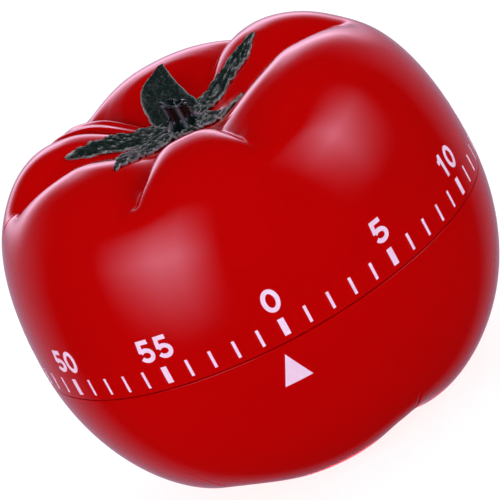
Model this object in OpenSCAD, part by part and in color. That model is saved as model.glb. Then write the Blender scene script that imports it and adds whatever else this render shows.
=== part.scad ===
// Sixty-minute mechanical timer in a tomato-shaped case, with its clockwork and bell.
// Origin: centre of the underside. +Z is up and the pointer of the case faces -Y.

/* [Case] */
// Diameter of the case at its widest circle
case_d = 72; // [68:1:88]
// Height of the crest round the stalk
crest_z = 55.5; // [54:0.5:68]
// Height of the widest circle
belt_z = 28; // [28:0.5:30]
// Height of the seam between the fixed half and the turning half
seam_z = 27; // [27:0.5:28]
// Gap left between the two halves at the seam
seam_gap = 0.3; // [0.2:0.05:0.5]
// Radius of the crest that surrounds the stalk hollow
crest_r = 19.3; // [18:0.1:22]
// Depth of the hollow that holds the calyx
hollow_depth = 4.7; // [4:0.1:6]
// Radius of the flat ring that the case rests on
base_r = 16.8; // [16.6:0.1:20.2]
// Wall thickness of both halves
wall = 2; // [1.6:0.1:2.4]
// Depth of the creases between the upper lobes
crease = 5; // [3:0.1:5.5]
// Depth of the creases under the belly
belly_crease = 2.5; // [1:0.1:3]

/* [Clockwork] */
// Height of the underside of the bottom plate
plate_z = 13.4; // [13.2:0.1:16.1]
// Thickness of both plates
plate_t = 1; // [0.8:0.1:1.2]
// Space between the plates
plate_gap = 11; // [11:0.1:12]
// Radius of the winding arbor
arbor_r = 2; // [1.8:0.1:2.4]
// Radial running clearance of every turning pair
run = 0.05; // [0.03:0.01:0.08]
// Tooth module of the main and second wheels
gear_m = 0.4; // [0.33:0.01:0.42]
// Tooth module of the third wheel
fine_m = 0.35; // [0.33:0.01:0.36]

/* [Bell] */
// Outer radius of the bell
bell_r = 16; // [15:0.1:19.2]
// Thickness of the bell's metal
bell_t = 0.8; // [0.6:0.1:1]
// Height of the bell from its floor to its mouth
bell_h = 5.8; // [5:0.1:6]

/* [Calyx] */
// Width of the broad leaf behind the stalk
leaf_w = 8.4; // [5:0.2:9]
// Height of the stalk stub above the hollow's floor
stalk_h = 5.2; // [4:0.1:7]
// Radius of the stalk stub
stalk_r = 2.2; // [1.8:0.1:2.6]

/* [Hidden] */
$fn = 48;
seat = 0.02;            // gap between two fixed pieces that fit into each other
case_r = case_d / 2;

// ---- lobes and creases -------------------------------------------------------
// azimuth, depth share of each crease, and how far the lobe after it is sunk in
top_creases = [[-111, 1, 0.05], [-70, 0.75, -0.08], [15, 0.7, -0.05], [66, 0.7, 0],
    [128, 1.3, 0.35], [144, 0.6, 0], [183, 1.2, 0]];
belly_creases = [[-132, 1, 0], [-62, 1, 0], [-5, 1, 0], [52, 1, 0], [112, 1, 0], [168, 1, 0]];
top_cols = 12;          // columns of points across one upper lobe
belly_cols = 12;        // columns of points across one belly lobe

function smooth(t) = let(x = min(1, max(0, t))) x * x * (3 - 2 * x);
function bunch(t) = 0.5 * t + 0.25 * (1 - cos(180 * t));
function turn(list, i) = list[i % len(list)];
function end_az(list, i) = list[i][0] < turn(list, i + 1)[0] ? turn(list, i + 1)[0]
    : turn(list, i + 1)[0] + 360;
// every column as [azimuth, position across its lobe from -1 to 1, lobe number]
function columns(list, n) = [for (i = [0 : len(list) - 1]) for (j = [0 : n - 1])
    let(t = bunch(j / n)) [list[i][0] + (end_az(list, i) - list[i][0]) * t, 2 * t - 1, i]];
// share of the crease depth at a column, softened by s away from the crest
function dip(list, col, s) = let(
    x = col[1],
    side = x < 0 ? list[col[2]][1] : turn(list, col[2] + 1)[1],
    y = sqrt(pow(1 - abs(x), 2) + s * s) / sqrt(1 + s * s))
    list[col[2]][2] * pow(1 - x * x, 2) + side * (1 - pow(1 - pow(1 - y, 2.3), 0.6));

// ---- profiles, each point as [radius, height, crease depth, softening] --------
hollow_z = crest_z - hollow_depth;
eye_r = 4.7;
function top_soft(r) = 0.04 + 1.2 * smooth((r / case_r - 0.78) / 0.18);
function top_deep(r) = crease * (1 - smooth((r / case_r - 0.6) / 0.4));
function flank(a) = [crest_r + (case_r - crest_r) * pow(cos(a), 0.76),
    belt_z + (crest_z - belt_z) * pow(sin(a), 0.87)];
flank_pts = [for (a = [8, 17, 26, 35, 44, 52, 60, 67, 74, 80, 85])
    let(p = flank(a)) [p[0], p[1], top_deep(p[0]), top_soft(p[0])]];
hollow_pts = [for (t = [0, 0.12, 0.25, 0.4, 0.55, 0.7, 0.85])
    [crest_r - (crest_r - eye_r) * t, hollow_z + hollow_depth * pow(cos(90 * t), 2),
    crease * (1 - smooth(t)), 0.04]];
belt_pts = [[case_r, seam_z, 0, 0], [case_r, belt_z, 0, 0]];
top_profile = concat(belt_pts, flank_pts, hollow_pts);

function belly(a) = [base_r + (case_r - base_r) * pow(cos(a), 1.05),
    belt_z * (1 - pow(sin(a), 1.045))];
belly_profile = [for (a = [90, 78, 67, 56, 46, 36, 27, 18, 9])
    let(p = belly(a), s = 1.2 * smooth((p[0] / case_r - 0.54) / 0.5))
    [p[0], p[1], a == 90 ? 0 : belly_crease * (1 - smooth((p[0] / case_r - 0.6) / 0.4)),
    0.04 + s]];

// unit normal of a profile that runs up the outside, pointing out of the solid
function normal(p, i) = let(
    a = p[max(0, i - 1)], b = p[min(len(p) - 1, i + 1)],
    d = [b[0] - a[0], b[1] - a[1]]) [d[1], -d[0]] / norm(d);
function ring(p, i, list, cols, off) = let(n = normal(p, i)) [for (c = cols) let(
    sink = p[i][2] * (p[i][2] == 0 ? 0 : dip(list, c, p[i][3])) + off,
    r = p[i][0] - n[0] * sink)
    [r * cos(c[0]), r * sin(c[0]), p[i][1] - n[1] * sink]];
function plain_ring(r, z, cols) = [for (c = cols) [r * cos(c[0]), r * sin(c[0]), z]];

// closed solid through a list of rings, with a flat cap at each end
module rings(list) {
    n = len(list[0]);
    last = (len(list) - 1) * n;
    sides = [for (k = [0 : len(list) - 2]) for (j = [0 : n - 1]) let(
        a = k * n + j, b = k * n + (j + 1) % n, c = a + n, d = b + n)
        each [[a, c, b], [b, c, d]]];
    caps = [[for (j = [0 : n - 1]) j], [for (j = [n - 1 : -1 : 0]) last + j]];
    polyhedron(points = [for (r = list) each r], faces = concat(caps, sides), convexity = 8);
}

// ---- heights that pieces share --------------------------------------------------
floor_z = 3.4;                      // top of the lower shell's floor
ledge_z = 2;                        // underside of the ledge that the cover seats on
cover_r = base_r - 1.6;
cover_bottom = 0.5;
cover_gap = 0.15;                   // gap round the cover in its recess
opening_r = cover_r - 3.4;
cover_screw_at = cover_r - 1.6;
cover_screw_r = 0.75;
cover_boss_top = 4.6;
bell_floor = 5.6;
plate_top = plate_z + plate_t;      // inner face of the bottom plate
top_plate_z = plate_top + plate_gap;
deck = top_plate_z + plate_t;       // upper face of the top plate
main_z = plate_top + 5.4;
main_t = 1;
second_z = plate_top + 7.6;
third_z = plate_top + 9.4;
wheel_t = 0.8;
low_z = plate_top + 1.6;            // escape wheel and alarm wheel
cam_z = deck + 0.8;
cam_t = 0.8;
stop_z = cam_z + cam_t + 0.3;
boss_z = stop_z + cam_t + 0.4;
lever_z = deck + 0.9;
lever_t = 0.6;
dial_floor_t = 1.5;                 // plastic under the dial screw's head
dial_well = 2.8;                    // depth of the well for head and calyx plug
ceiling_z = hollow_z - dial_well - dial_floor_t;
well_r = 4.2;
arbor_top = ceiling_z - 0.3;
flat_at = 0.75 * arbor_r;           // the winding arbor's flat, from its axis
lip_gap = 0.4;
lip_t = 1.2;
lip_h = 2;

// ---- arbors: places in plan ------------------------------------------------------
function at(r, az) = [r * cos(az), r * sin(az), 0];
main_n = 60;
second_n = 48;
third_n = 40;
pinion_n = 12;
fine_pinion_n = 10;
function spacing(m, a, b) = m * (a + b) / 2;
// azimuth of an arbor at radius r that is d away from the one at radius r0
function beside(r0, r, d) = acos((r0 * r0 + r * r - d * d) / (2 * r0 * r));
second_r = spacing(gear_m, main_n, pinion_n);
third_r = second_r - 0.6;
escape_r = second_r - 0.2;
pallet_r = second_r + 0.1;
second_az = -60;
third_az = second_az + beside(second_r, third_r, spacing(gear_m, second_n, pinion_n));
escape_az = third_az + beside(third_r, escape_r, spacing(fine_m, third_n, fine_pinion_n));
escape_tip = 5;
pallet_off = escape_tip + 2.3;
pallet_az = escape_az + beside(escape_r, pallet_r, pallet_off);
second_at = at(second_r, second_az);
third_at = at(third_r, third_az);
escape_at = at(escape_r, escape_az);
pallet_at = at(pallet_r, pallet_az);
alarm_az = 150;
alarm_at = at(second_r, alarm_az);
alarm_tip = 4.6;
hammer_off = alarm_tip + 2.6;
hammer_r = second_r - 0.8;
hammer_az = alarm_az + beside(second_r, hammer_r, hammer_off);
hammer_at = at(hammer_r, hammer_az);
head_r = 1.5;
strike_gap = 0.5;                   // between the resting hammer head and the bell
head_at = at(bell_r - bell_t - strike_gap - head_r, 226);
body_r = 1.6;                       // of the pillars between the plates
second_tip = gear_m * (second_n / 2 + 0.6);
third_tip = fine_m * (third_n / 2 + 0.6);
pillar_r = third_r + third_tip + body_r + 0.4;
pillar_az = [95, 175, 245, second_az + beside(second_r, pillar_r, second_tip + body_r + 0.6)];
plate_r = pillar_r + 2.4;
ear_az = [90, 210, 330];
ear_r = plate_r + 1.8;
post_r = 2.3;
cam_r = 6;
stop_r = 12;
stop_pin_r = 0.6;
stop_w = 1;
stop_gap = 0.05;
stop_az = 60;                       // azimuth of the stop arm at rest
release_at = at(hammer_r - 1.2, 225);
stud_r = 0.8;

// azimuth of the line from a to b
function toward(a, b) = atan2(b[1] - a[1], b[0] - a[0]);

// ---- gears -------------------------------------------------------------------------
pressure = 20;
slack = 0.03;                       // material taken off each flank at the pitch circle
function roll_angle(a) = tan(a) * 180 / PI - a;
// half the angle of a tooth at radius r
function half_tooth(m, n, r) = let(
    p = m * n / 2, b = p * cos(pressure), q = max(r, b))
    90 / n - slack / p * 180 / PI + roll_angle(pressure) - roll_angle(acos(b / q));
module gear_shape(m, n, addendum, dedendum) {
    p = m * n / 2;
    b = p * cos(pressure);
    root = p - dedendum * m;
    tip = p + addendum * m;
    radii = [root, max(b, root + 0.02), p, tip];
    polygon([for (k = [0 : n - 1]) let(a = 360 * k / n) each concat(
        [for (r = radii) let(h = half_tooth(m, n, r)) [r * cos(a - h), r * sin(a - h)]],
        [for (i = [3 : -1 : 0]) let(r = radii[i], h = half_tooth(m, n, r))
            [r * cos(a + h), r * sin(a + h)]])]);
}
module spoked(m, n, t, bore_r, hub_r) {
    rim = m * n / 2 - 1.15 * m - 1.1;
    difference() {
        linear_extrude(t) gear_shape(m, n, 0.6, 1.15);
        translate([0, 0, -1]) cylinder(r = bore_r, h = t + 2);
        for (k = [0 : 3]) rotate(90 * k + 45) translate([0, 0, -1]) linear_extrude(t + 2)
            intersection() {
                difference() { circle(rim); circle(hub_r + 0.9); }
                polygon([for (corner = [at(0.5, 0), at(40, -33), at(60, 0), at(40, 33)])
                    [corner[0], corner[1]]]);
            }
    }
}
module pinion_solid(m, n, z, h, phase) {
    translate([0, 0, z]) rotate(phase) linear_extrude(h) gear_shape(m, n, 0.9, 0.85);
}
pivot_r = 0.6;
staff_r = 0.9;
end_play = 0.1;
// shaft between the plates, with a thin pivot at each end
module staff() {
    translate([0, 0, plate_z]) cylinder(r = pivot_r, h = deck - plate_z);
    translate([0, 0, plate_top + end_play]) cylinder(r = staff_r, h = plate_gap - 2 * end_play);
}

// ---- case ---------------------------------------------------------------------------
boss_wall = 2.5;                    // plastic round the bore that grips the arbor
module upper_shell() {
    cols = columns(top_creases, top_cols);
    n = len(top_profile);
    outer = [for (i = [0 : n - 1]) ring(top_profile, i, top_creases, cols, 0)];
    inner = [for (i = [n - 3 : -1 : 1]) ring(top_profile, i, top_creases, cols, wall)];
    color("red") difference() {
        union() {
            rings(concat([plain_ring(well_r + wall + 1.2, ceiling_z, cols)], inner,
                [plain_ring(case_r - wall, seam_z, cols)], outer,
                [plain_ring(eye_r, hollow_z, cols)]));
            translate([0, 0, boss_z])
                cylinder(r = arbor_r + boss_wall, h = ceiling_z + 0.5 - boss_z);
        }
        translate([0, 0, hollow_z - dial_well]) cylinder(r = well_r, h = dial_well + 1);
        translate([0, 0, ceiling_z - 1]) cylinder(r = 1.1, h = dial_floor_t + 2);
        translate([0, 0, boss_z - 1]) intersection() {
            cylinder(r = arbor_r + seat, h = ceiling_z + 1 - boss_z);
            translate([-10, -10, 0]) cube([10 + flat_at + seat, 20, 40]);
        }
    }
}

// each leaf as [azimuth, tip radius, extra rise at the tip, width share]
leaves = [[33, 17.4, 0.6, 0.45], [93, 12.6, 3, 1.15], [176, 18.2, 0.3, 0.45],
    [233, 18.2, 0.3, 0.42], [318, 13.4, 0.4, 0.4]];
leaf_lift = 0.7;
leaf_t = 1;
plug_h = 1.1;
pad_r = 4.6;
pad_h = 1.5;
function ground(r) = let(t = min(1, max(0, (crest_r - r) / (crest_r - eye_r))))
    hollow_z + hollow_depth * pow(cos(90 * t), 2);
function leaf_half(t) = 0.5 * leaf_w * (0.7 + 1.5 * t) * pow(1.02 - t, 0.9);
module leaf(tip_r, rise, share) {
    steps = 8;
    start = 2.4;
    rings([for (k = [0 : steps]) let(
        t = k / steps,
        r = start + (tip_r - start) * t,
        z = ground(r) + leaf_lift * smooth(4 * t) + 0.3 + rise * t * t,
        w = leaf_half(t) * share,
        h = leaf_t * (1 - 0.6 * t))
        [[r, -w, z + 0.5 * h], [r, 0, z], [r, w, z + 0.5 * h], [r, 0, z + h]]]);
}
module calyx() {
    color("darkgreen") union() {
        translate([0, 0, hollow_z - plug_h]) cylinder(r = well_r - 0.1, h = plug_h + pad_h);
        translate([0, 0, hollow_z + seat]) cylinder(r = pad_r, h = pad_h - seat);
        rotate_extrude() polygon([[0, hollow_z + 1], [stalk_r + 0.8, hollow_z + 1],
            [stalk_r + 0.7, hollow_z + pad_h], [stalk_r, hollow_z + pad_h + 1],
            [stalk_r - 0.1, hollow_z + stalk_h - 1], [stalk_r - 0.6, hollow_z + stalk_h - 0.3],
            [stalk_r - 1.3, hollow_z + stalk_h], [0, hollow_z + stalk_h]]);
        for (l = leaves) rotate(l[0]) leaf(l[1], l[2], l[3]);
    }
}

module screw(head_r, head_h, r, length) {
    translate([0, 0, -length]) cylinder(r = r, h = length + 0.1);
    difference() {
        cylinder(r = head_r, h = head_h);
        translate([-head_r - 1, -0.2, head_h - 0.4]) cube([2 * head_r + 2, 0.4, 1]);
    }
}
dial_screw_r = 0.9;
dial_screw_l = 8;
module dial_screw() {
    color("silver") translate([0, 0, hollow_z - dial_well + seat])
        screw(2.2, 1.4, dial_screw_r, dial_screw_l);
}

screw_len = 3.4;
plate_screw_r = 1;
module lower_shell() {
    cols = columns(belly_creases, belly_cols);
    n = len(belly_profile);
    rim = seam_z - seam_gap;
    lip_r = case_r - wall - lip_gap;
    outer = [for (i = [0 : n - 1]) ring(belly_profile, i, belly_creases, cols, 0)];
    inner = [for (i = [n - 1 : -1 : 1]) ring(belly_profile, i, belly_creases, cols, wall)];
    color("red") difference() {
        union() {
            rings(concat(outer, [plain_ring(case_r, rim, cols), plain_ring(lip_r, rim, cols),
                plain_ring(lip_r, rim + lip_h, cols),
                plain_ring(lip_r - lip_t, rim + lip_h, cols),
                plain_ring(lip_r - lip_t, rim - 1.5, cols)], inner,
                [plain_ring(base_r + 0.7, floor_z, cols)]));
            for (a = ear_az) translate(at(ear_r, a) + [0, 0, plate_z - 4.4])
                cylinder(r = post_r, h = 4.4);
            for (a = ear_az) translate(at(cover_screw_at, a + 60) + [0, 0, floor_z - 0.4])
                cylinder(r = 1.7, h = cover_boss_top - floor_z + 0.4);
        }
        translate([0, 0, -1]) cylinder(r = cover_r + cover_gap, h = ledge_z + 1);
        translate([0, 0, -1]) cylinder(r = opening_r, h = floor_z + 2);
        for (a = ear_az) translate(at(cover_screw_at, a + 60))
            cylinder(r = cover_screw_r + seat, h = cover_boss_top + 1);
        for (a = ear_az) translate(at(ear_r, a) + [0, 0, plate_z - screw_len])
            cylinder(r = plate_screw_r + seat, h = 8);
    }
}
slot_r = 0.8;                       // the sound slots of the cover
slot_from = 4.8;
slot_to = opening_r - 2;
module base_cover() {
    color("red") difference() {
        translate([0, 0, cover_bottom]) cylinder(r = cover_r, h = ledge_z - cover_bottom);
        for (a = ear_az) translate(at(cover_screw_at, a + 60)) {
            cylinder(r = cover_screw_r + 0.15, h = 9);
            cylinder(r = 1.65, h = cover_bottom + 0.8);
        }
        for (k = [0 : 11]) rotate(30 * k) linear_extrude(9) {
            translate([slot_from, 0]) circle(slot_r);
            translate([slot_from, -slot_r]) square([slot_to - slot_from, 2 * slot_r]);
            translate([slot_to, 0]) circle(slot_r);
        }
        cylinder(r = 1.6, h = 9);
    }
}
module cover_screws() {
    color("silver") for (a = ear_az)
        translate(at(cover_screw_at, a + 60) + [0, 0, cover_bottom + 0.8]) mirror([0, 0, 1])
            screw(1.5, 0.7, cover_screw_r, 2.9);
}

// ---- bell -----------------------------------------------------------------------------
bell_hole = 1.1;
bend = 3;                           // outer radius of the bell's bend
module bell() {
    top = bell_floor + bell_h;
    color("silver") rotate_extrude() polygon(concat([[bell_hole, bell_floor]],
        [for (a = [-90 : 15 : 0]) [bell_r - bend + bend * cos(a),
            bell_floor + bend + bend * sin(a)]],
        [[bell_r, top], [bell_r - bell_t, top]],
        [for (a = [0 : -15 : -90]) [bell_r - bend + (bend - bell_t) * cos(a),
            bell_floor + bend + (bend - bell_t) * sin(a)]],
        [[bell_hole, bell_floor + bell_t]]));
}
module bell_post() {
    color("goldenrod") difference() {
        translate([0, 0, bell_floor + bell_t]) cylinder(r = 2.2, h = plate_z - bell_floor - bell_t);
        translate([0, 0, bell_floor]) cylinder(r = 0.9 + seat, h = 5);
    }
}
module bell_screw() {
    color("silver") translate([0, 0, bell_floor]) mirror([0, 0, 1]) screw(2, 0.9, 0.9, 4.4);
}

// ---- plates -----------------------------------------------------------------------------
module pivot_holes() {
    for (p = [second_at, third_at, escape_at, pallet_at, alarm_at])
        translate([p[0], p[1], -1]) cylinder(r = pivot_r + run, h = plate_t + 2);
}
ear_w = 2 * post_r - 0.8;            // neck between the plate and each ear
module bottom_plate() {
    color("lightgray") difference() {
        union() {
            translate([0, 0, plate_z]) cylinder(r = plate_r, h = plate_t);
            for (a = ear_az) translate([0, 0, plate_z]) rotate(a)
                translate([plate_r - 4, -ear_w / 2, 0]) cube([ear_r - plate_r + 4, ear_w, plate_t]);
            for (a = ear_az) translate(at(ear_r, a) + [0, 0, plate_z])
                cylinder(r = post_r, h = plate_t);
        }
        translate([0, 0, plate_z]) pivot_holes();
        translate([hammer_at[0], hammer_at[1], plate_z - 1]) cylinder(r = staff_r + run, h = 4);
        translate([0, 0, plate_z - 1]) cylinder(r = arbor_r - 0.5 + run, h = 4);
        for (a = ear_az) translate(at(ear_r, a) + [0, 0, plate_z - 1])
            cylinder(r = plate_screw_r + 0.15, h = 4);
    }
}
module top_plate() {
    color("lightgray") difference() {
        translate([0, 0, top_plate_z]) cylinder(r = plate_r, h = plate_t);
        translate([0, 0, top_plate_z]) pivot_holes();
        translate([hammer_at[0], hammer_at[1], top_plate_z - 1])
            cylinder(r = staff_r + run, h = 4);
        translate([0, 0, top_plate_z - 1]) cylinder(r = arbor_r + run, h = 4);
        for (a = pillar_az) translate(at(pillar_r, a) + [0, 0, top_plate_z - 1])
            cylinder(r = 0.95, h = 4);
        for (a = [12, 110, 288]) translate([0, 0, top_plate_z - 1]) linear_extrude(4) hull() {
            translate([18 * cos(a - 9), 18 * sin(a - 9)]) circle(2.6);
            translate([18 * cos(a + 9), 18 * sin(a + 9)]) circle(2.6);
        }
    }
}
module plate_pillars() {
    color("goldenrod") for (a = pillar_az) translate(at(pillar_r, a) + [0, 0, plate_top])
        difference() {
            cylinder(r = body_r, h = plate_gap);
            translate([0, 0, plate_gap - 4]) cylinder(r = 0.8 + seat, h = 5);
        }
}
module pillar_screws() {
    color("silver") for (a = pillar_az) translate(at(pillar_r, a) + [0, 0, deck])
        screw(1.5, 0.8, 0.8, 4.4);
}
module movement_screws() {
    color("silver") for (a = ear_az) translate(at(ear_r, a) + [0, 0, plate_top])
        screw(1.8, 0.9, plate_screw_r, plate_t + screw_len - 0.2);
}

// ---- winding arbor and spring --------------------------------------------------------
module winding_arbor() {
    color("silver") difference() {
        union() {
            translate([0, 0, plate_z]) cylinder(r = arbor_r - 0.5, h = arbor_top - plate_z);
            translate([0, 0, plate_top + end_play])
                cylinder(r = arbor_r, h = arbor_top - plate_top - end_play);
        }
        translate([flat_at, -10, boss_z]) cube([10, 20, 40]);
        translate([0, 0, hollow_z - dial_well - dial_screw_l - 0.5])
            cylinder(r = dial_screw_r + seat, h = 20);
    }
}
coil_t = 0.25;
coil_in = arbor_r + 0.25;
coil_out = escape_r - escape_tip - coil_t - 0.35;
coil_turns = 8;
post_at = at(coil_out + 2.4, 100);
function coil_r(a) = coil_in + (coil_out - coil_in) * a / (360 * coil_turns);
module mainspring() {
    angles = [for (k = [0 : 24 * coil_turns]) 15 * k];
    tail = post_at + [0, -1 - run - coil_t, 0];
    color("steelblue") translate([0, 0, plate_top + 0.5]) linear_extrude(4.2) rotate(60)
        polygon(concat(
            [for (a = angles) coil_r(a) * [cos(a), sin(a)]],
            [let(p = [cos(-60) * tail[0] - sin(-60) * tail[1],
                sin(-60) * tail[0] + cos(-60) * tail[1]]) p,
                let(q = tail + [0.1, coil_t, 0]) [cos(-60) * q[0] - sin(-60) * q[1],
                sin(-60) * q[0] + cos(-60) * q[1]]],
            [for (i = [len(angles) - 1 : -1 : 0])
                (coil_r(angles[i]) + coil_t) * [cos(angles[i]), sin(angles[i])]]));
}
module spring_post() {
    color("goldenrod") translate(post_at + [0, 0, plate_top]) cylinder(r = 1, h = 4.8);
}
module main_wheel() {
    color("gold") translate([0, 0, main_z])
        spoked(gear_m, main_n, main_t, arbor_r + seat, arbor_r + 1.6);
}
module clutch_spring() {
    color("steelblue") translate([0, 0, main_z + main_t]) difference() {
        union() {
            cylinder(r = arbor_r + 1.2, h = 0.4);
            for (k = [0 : 2]) rotate(120 * k) translate([0, -0.7, 0])
                cube([arbor_r + 3.2, 1.4, 0.4]);
        }
        translate([0, 0, -1]) cylinder(r = arbor_r + seat, h = 3);
    }
}

// ---- going train ----------------------------------------------------------------------
// A wheel turned to its mate's line of centres has a tooth there; a pinion has a gap.
function gap_phase(from, to, n) = toward(from, to) + 180 / n;
module second_pinion() {
    color("silver") translate(second_at) {
        staff();
        pinion_solid(gear_m, pinion_n, main_z - 0.4, main_t + 0.8,
            gap_phase(second_at, [0, 0], pinion_n));
    }
}
module second_wheel() {
    color("gold") translate(second_at + [0, 0, second_z]) rotate(toward(second_at, third_at))
        spoked(gear_m, second_n, wheel_t, staff_r + seat, staff_r + 1);
}
module third_pinion() {
    color("silver") translate(third_at) {
        staff();
        pinion_solid(gear_m, pinion_n, second_z - 0.4, wheel_t + 0.8,
            gap_phase(third_at, second_at, pinion_n));
    }
}
module third_wheel() {
    color("gold") translate(third_at + [0, 0, third_z]) rotate(toward(third_at, escape_at))
        spoked(fine_m, third_n, wheel_t, staff_r + seat, staff_r + 1);
}
module escape_pinion() {
    color("silver") translate(escape_at) {
        staff();
        pinion_solid(fine_m, fine_pinion_n, third_z - 0.4, wheel_t + 0.8,
            gap_phase(escape_at, third_at, fine_pinion_n));
    }
}
module star(tip, root, n, lean, bore_r, t) {
    linear_extrude(t) difference() {
        polygon([for (k = [0 : n - 1]) let(a = 360 * k / n) each [
            [tip * cos(a), tip * sin(a)], [tip * cos(a + 3), tip * sin(a + 3)],
            [root * cos(a + lean), root * sin(a + lean)]]]);
        circle(bore_r);
    }
}
module escape_wheel() {
    color("gold") translate(escape_at + [0, 0, low_z])
        star(escape_tip, escape_tip - 1.4, 15, 16, staff_r + seat, wheel_t);
}

// ---- regulator ------------------------------------------------------------------------
pin_r = 0.35;
swing_gap = 0.35;                   // pallet pin to the tips of the escape wheel at rest
pin_out = escape_tip + swing_gap + pin_r;
module bar(a, b, r, t) {
    linear_extrude(t) hull() {
        translate(a) circle(r);
        translate(b) circle(r);
    }
}
module pallet_arbor() { color("silver") translate(pallet_at) staff(); }
module pallet_lever() {
    line = toward(escape_at, pallet_at);
    pins = [for (s = [-36, 36]) [escape_at[0] + pin_out * cos(line + s),
        escape_at[1] + pin_out * sin(line + s)]];
    hub = [pallet_at[0], pallet_at[1]];
    color("gold") difference() {
        union() {
            for (p = pins) translate([0, 0, low_z + wheel_t + 0.3]) bar(p, hub, 0.6, 0.6);
            for (p = pins) translate([p[0], p[1], low_z - 0.2])
                cylinder(r = pin_r, h = wheel_t + 0.7);
            translate([hub[0], hub[1], low_z + wheel_t + 0.3]) cylinder(r = 1.6, h = 0.6);
        }
        translate([hub[0], hub[1], low_z - 1]) cylinder(r = staff_r + seat, h = 5);
    }
}
module balance_bar() {
    color("silver") translate(pallet_at + [0, 0, low_z + wheel_t + 1.6])
        rotate(toward(escape_at, pallet_at) + 90) difference() {
            union() {
                translate([-4.4, -0.6, 0]) cube([8.8, 1.2, 0.9]);
                for (s = [-1, 1]) translate([4.4 * s, 0, 0]) cylinder(r = 1.1, h = 0.9);
                cylinder(r = 1.5, h = 0.9);
            }
            translate([0, 0, -1]) cylinder(r = staff_r + seat, h = 3);
        }
}

// ---- alarm ------------------------------------------------------------------------------
module alarm_pinion() {
    color("silver") translate(alarm_at) {
        staff();
        pinion_solid(gear_m, pinion_n, main_z - 0.4, main_t + 0.8,
            gap_phase(alarm_at, [0, 0], pinion_n));
    }
}
module alarm_wheel() {
    color("gold") translate(alarm_at + [0, 0, low_z])
        star(alarm_tip, alarm_tip - 1.3, 12, 15, staff_r + seat, wheel_t);
}
arm_z = plate_z - 1.7;
arm_t = 0.9;
module hammer_arbor() {
    color("silver") translate(hammer_at) translate([0, 0, arm_z - 0.2])
        cylinder(r = staff_r, h = lever_z + lever_t + 0.1 - arm_z + 0.2);
}
module hammer_pallet() {
    line = toward(alarm_at, hammer_at);
    out = alarm_tip + 0.75;
    ends = [for (s = [-34, 34]) [alarm_at[0] + out * cos(line + s),
        alarm_at[1] + out * sin(line + s)]];
    hub = [hammer_at[0], hammer_at[1]];
    color("silver") difference() {
        union() {
            for (p = ends) translate([0, 0, low_z + wheel_t + 0.3]) bar(p, hub, 0.5, 0.6);
            for (p = ends) translate([p[0], p[1], low_z - 0.1]) cylinder(r = 0.4, h = wheel_t + 0.6);
            translate([hub[0], hub[1], low_z + wheel_t + 0.3]) cylinder(r = 1.5, h = 0.6);
        }
        translate([hub[0], hub[1], low_z - 1]) cylinder(r = staff_r + seat, h = 5);
    }
}
head_h = 2.4;
head_z = bell_floor + bell_h - head_h - 0.6;
module hammer_arm() {
    hub = [hammer_at[0], hammer_at[1]];
    color("silver") difference() {
        union() {
            translate([0, 0, arm_z]) bar(hub, [head_at[0], head_at[1]], 0.8, arm_t);
            translate([hub[0], hub[1], arm_z]) cylinder(r = 1.6, h = arm_t);
            translate([head_at[0], head_at[1], head_z]) cylinder(r = 0.6, h = arm_z + 0.1 - head_z);
        }
        translate([hub[0], hub[1], arm_z - 1]) cylinder(r = staff_r + seat, h = 4);
    }
}
module hammer_head() {
    color("goldenrod") translate([head_at[0], head_at[1], head_z]) difference() {
        cylinder(r = head_r, h = head_h);
        translate([0, 0, -1]) cylinder(r = 0.6 + seat, h = 9);
    }
}
crank_tip = hammer_at + [0.3, -3.8, 0];
module lock_crank() {
    hub = [hammer_at[0], hammer_at[1]];
    color("silver") difference() {
        union() {
            translate([0, 0, lever_z]) bar(hub, [crank_tip[0], crank_tip[1]], 0.6, lever_t);
            translate([hub[0], hub[1], lever_z]) cylinder(r = 1.5, h = lever_t);
        }
        translate([hub[0], hub[1], lever_z - 1]) cylinder(r = staff_r + seat, h = 4);
    }
}
module alarm_cam() {
    color("white") difference() {
        translate([0, 0, cam_z]) cylinder(r = cam_r, h = cam_t);
        translate([0, 0, cam_z - 1]) cylinder(r = arbor_r + seat, h = 4);
        rotate(225) translate([cam_r - 0.9, -1, cam_z - 1]) cube([3, 2, 4]);
    }
}
module stop_arm() {
    color("white") difference() {
        union() {
            translate([0, 0, cam_z + cam_t]) cylinder(r = 3.4, h = stop_z - cam_z);
            rotate(stop_az) translate([0, -stop_w / 2, stop_z]) cube([stop_r + 1, stop_w, cam_t]);
        }
        translate([0, 0, cam_z]) cylinder(r = arbor_r + seat, h = 5);
    }
}
stop_pin_az = stop_az + (stop_w / 2 + stop_pin_r + stop_gap) / stop_r * 180 / PI;
module stop_pin() {
    color("silver") translate(at(stop_r, stop_pin_az) + [0, 0, deck])
        cylinder(r = stop_pin_r, h = stop_z + cam_t - deck);
}
nose_gap = 0.12;
nose_at = at(cam_r + nose_gap + 0.6, 225);
tail_at = [release_at[0] - 1.9, release_at[1] + 3, 0];
module release_stud() {
    color("silver") translate([release_at[0], release_at[1], deck])
        cylinder(r = stud_r, h = lever_z + lever_t + 0.2 - deck);
}
module release_lever() {
    hub = [release_at[0], release_at[1]];
    color("steelblue") difference() {
        union() {
            translate([0, 0, lever_z]) bar(hub, [nose_at[0], nose_at[1]], 0.6, lever_t);
            translate([0, 0, lever_z]) bar(hub, [tail_at[0], tail_at[1]], 0.6, lever_t);
            translate([hub[0], hub[1], lever_z]) cylinder(r = 1.7, h = lever_t);
        }
        translate([hub[0], hub[1], lever_z - 1]) cylinder(r = stud_r + run, h = 4);
    }
}
wire_r = 0.12;
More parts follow.
